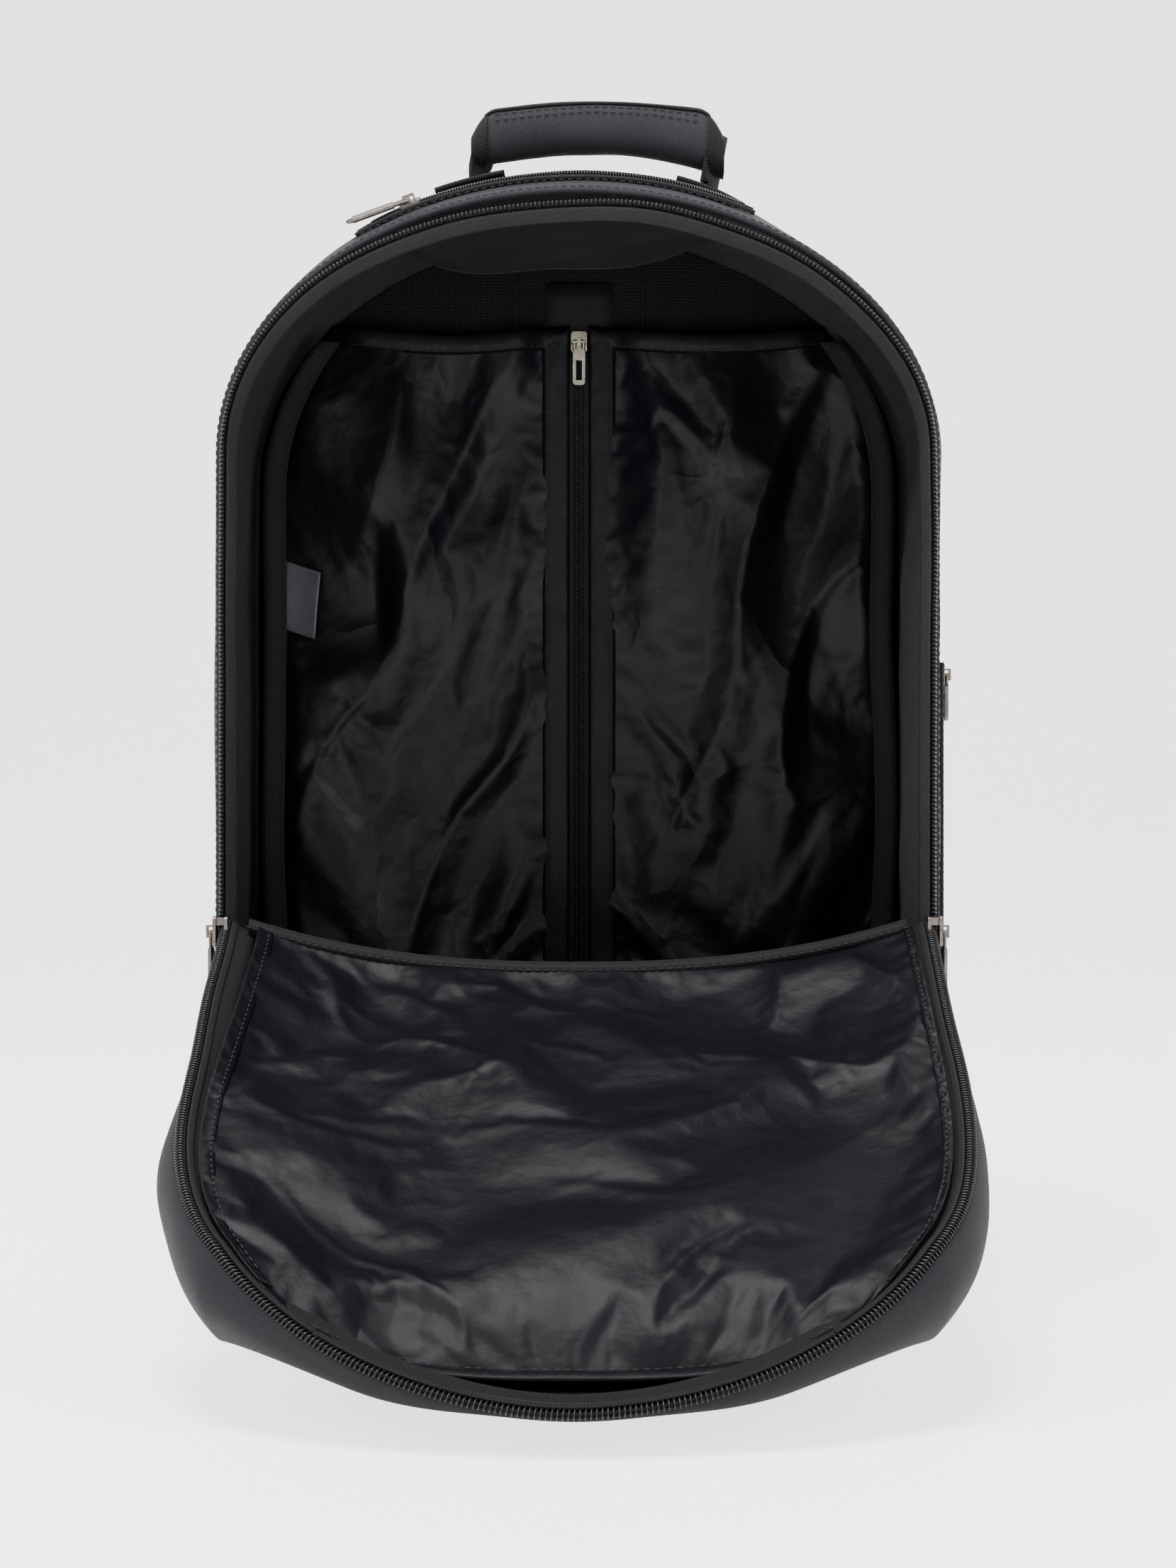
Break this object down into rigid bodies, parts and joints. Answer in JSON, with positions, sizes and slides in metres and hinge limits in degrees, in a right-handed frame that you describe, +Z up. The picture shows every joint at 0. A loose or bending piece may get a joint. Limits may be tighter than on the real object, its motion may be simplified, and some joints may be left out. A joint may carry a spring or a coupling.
{
  "type": "travel backpack",
  "caption": "Arched travel backpack with a zip-round front flap folded down, zipped inner curtain, top and side zips, grab handle and padded shoulder straps.",
  "frame": {"origin": "centre of the flat base, on the floor", "axes": "+Z up, +X to the right seen from the front, -Y to the front, where the flap folds down"},
  "size_m": [0.3627, 0.5272, 0.577],
  "materials": {
    "outer_canvas": "fine ribbed canvas, matte",
    "lining_nylon": "smooth nylon lining with a soft shine",
    "pouch_cloth": "plain nylon",
    "webbing": "ribbed webbing",
    "zip_tape": "woven tape",
    "zip_teeth": "glossy black coil",
    "antique_nickel": "antique nickel with bright worn edges",
    "bright_nickel": "pale gold nickel plate",
    "padded_mesh": "spacer mesh over foam",
    "stiffener": "flat polyethylene sheet",
    "stay_metal": "plain",
    "label": "satin ribbon, blank",
    "buckle": "moulded nylon"
  },
  "bodies": {
    "bag": {"bottom_panel": "outer_canvas", "side_gusset_left": "outer_canvas", "side_gusset_right": "outer_canvas", "top_gusset": "outer_canvas", "back_panel": "outer_canvas", "front_panel_lower": "outer_canvas", "bottom_board": "stiffener", "body_zip_tape": "zip_tape", "body_zip_coil": "zip_teeth", "fold_binding": "webbing", "top_zip_tape": "zip_tape", "top_zip_coil": "zip_teeth", "top_pocket_pouch": "pouch_cloth", "side_zip": "zip_tape", "side_pocket_pouch": "pouch_cloth", "back_foam": "padded_mesh", "frame_sheet": "stiffener", "center_stay": "stay_metal", "stay_sleeve": "outer_canvas", "lining_curtain_left": "lining_nylon", "lining_curtain_right": "lining_nylon", "curtain_zip": "zip_tape", "seam_binding_left": "webbing", "seam_binding_right": "webbing", "care_label": "label", "handle_anchor_left": "webbing", "handle_anchor_right": "webbing", "back_pad_left": "padded_mesh", "back_pad_right": "padded_mesh", "strap_yoke_left": "webbing", "strap_yoke_right": "webbing", "strap_anchor_left": "webbing", "strap_anchor_right": "webbing"},
    "flap": {"flap_lining": "lining_nylon", "flap_panel": "outer_canvas", "flap_zip_tape": "zip_tape", "flap_zip_coil": "zip_teeth", "front_pocket": "outer_canvas", "pocket_zip": "zip_tape"},
    "main_slider_left": {"main_slider_left": "antique_nickel"},
    "main_pull_left": {"main_pull_left": "antique_nickel"},
    "main_slider_right": {"main_slider_right": "antique_nickel"},
    "main_pull_right": {"main_pull_right": "antique_nickel"},
    "curtain_slider": {"curtain_slider": "bright_nickel"},
    "curtain_pull": {"curtain_pull": "bright_nickel"},
    "top_slider": {"top_slider": "antique_nickel"},
    "top_pull": {"top_pull": "antique_nickel"},
    "side_slider": {"side_slider": "antique_nickel"},
    "side_pull": {"side_pull": "antique_nickel"},
    "pocket_slider": {"pocket_slider": "antique_nickel"},
    "pocket_pull": {"pocket_pull": "antique_nickel"},
    "handle": {"handle_webbing": "webbing", "handle_grip": "outer_canvas"},
    "strap_left": {"shoulder_strap_left": "outer_canvas", "ladder_lock_left": "buckle", "strap_webbing_left": "webbing"},
    "strap_right": {"shoulder_strap_right": "outer_canvas", "ladder_lock_right": "buckle", "strap_webbing_right": "webbing"}
  },
  "joints": [
    {"name": "flap_fold", "type": "hinge", "parent": "bag", "child": "flap", "pos_m": [0, -0.1, 0.17], "axis": [-1, 0, 0], "range_deg": [0, 114.3]},
    {"name": "main_zip_left", "type": "slide", "parent": "bag", "child": "main_slider_left", "axis": [0, 0, 1], "range_m": [0, 0.21]},
    {"name": "main_pull_left_swing", "type": "hinge", "parent": "main_slider_left", "child": "main_pull_left", "pos_m": [-0.1691, -0.1035, 0.172], "axis": [0, 1, 0], "range_deg": [0, 160]},
    {"name": "main_zip_right", "type": "slide", "parent": "bag", "child": "main_slider_right", "axis": [0, 0, 1], "range_m": [0, 0.21]},
    {"name": "main_pull_right_swing", "type": "hinge", "parent": "main_slider_right", "child": "main_pull_right", "pos_m": [0.1691, -0.1035, 0.172], "axis": [0, -1, 0], "range_deg": [0, 160]},
    {"name": "curtain_zip_run", "type": "slide", "parent": "bag", "child": "curtain_slider", "axis": [0, 0, -1], "range_m": [0, 0.318]},
    {"name": "curtain_pull_swing", "type": "hinge", "parent": "curtain_slider", "child": "curtain_pull", "pos_m": [0, 0.0796, 0.473], "axis": [-1, 0, 0], "range_deg": [0, 120]},
    {"name": "top_zip_run", "type": "hinge", "parent": "bag", "child": "top_slider", "pos_m": [0, -0.068, 0.29948], "axis": [0, 1, 0], "range_deg": [0, 37.61]},
    {"name": "top_pull_swing", "type": "hinge", "parent": "top_slider", "child": "top_pull", "pos_m": [-0.07999, -0.07032, 0.51674], "axis": [-0.1291, 0.9276, 0.3506], "range_deg": [0, 150]},
    {"name": "side_zip_run", "type": "slide", "parent": "bag", "child": "side_slider", "axis": [0, 0, -1], "range_m": [0, 0.15]},
    {"name": "side_pull_swing", "type": "hinge", "parent": "side_slider", "child": "side_pull", "pos_m": [0.1832, 0, 0.2945], "axis": [0, -1, 0], "range_deg": [0, 150]},
    {"name": "pocket_zip_run", "type": "slide", "parent": "flap", "child": "pocket_slider", "axis": [1, 0, 0], "range_m": [0, 0.168]},
    {"name": "pocket_pull_swing", "type": "hinge", "parent": "pocket_slider", "child": "pocket_pull", "pos_m": [-0.084, -0.24572, 0.03102], "axis": [0, 0.9114, 0.4115], "range_deg": [0, 110]},
    {"name": "handle_fold", "type": "hinge", "parent": "bag", "child": "handle", "pos_m": [0.009, 0, 0.54232], "axis": [1, 0, 0], "range_deg": [-30, 30], "stiffness_Nm_per_rad": 0.08},
    {"name": "strap_lift_left", "type": "hinge", "parent": "bag", "child": "strap_left", "pos_m": [-0.042, 0.1034, 0.492], "axis": [1, 0, 0], "range_deg": [0, 80]},
    {"name": "strap_lift_right", "type": "hinge", "parent": "bag", "child": "strap_right", "pos_m": [0.042, 0.1034, 0.492], "axis": [1, 0, 0], "range_deg": [0, 80]}
  ]
}
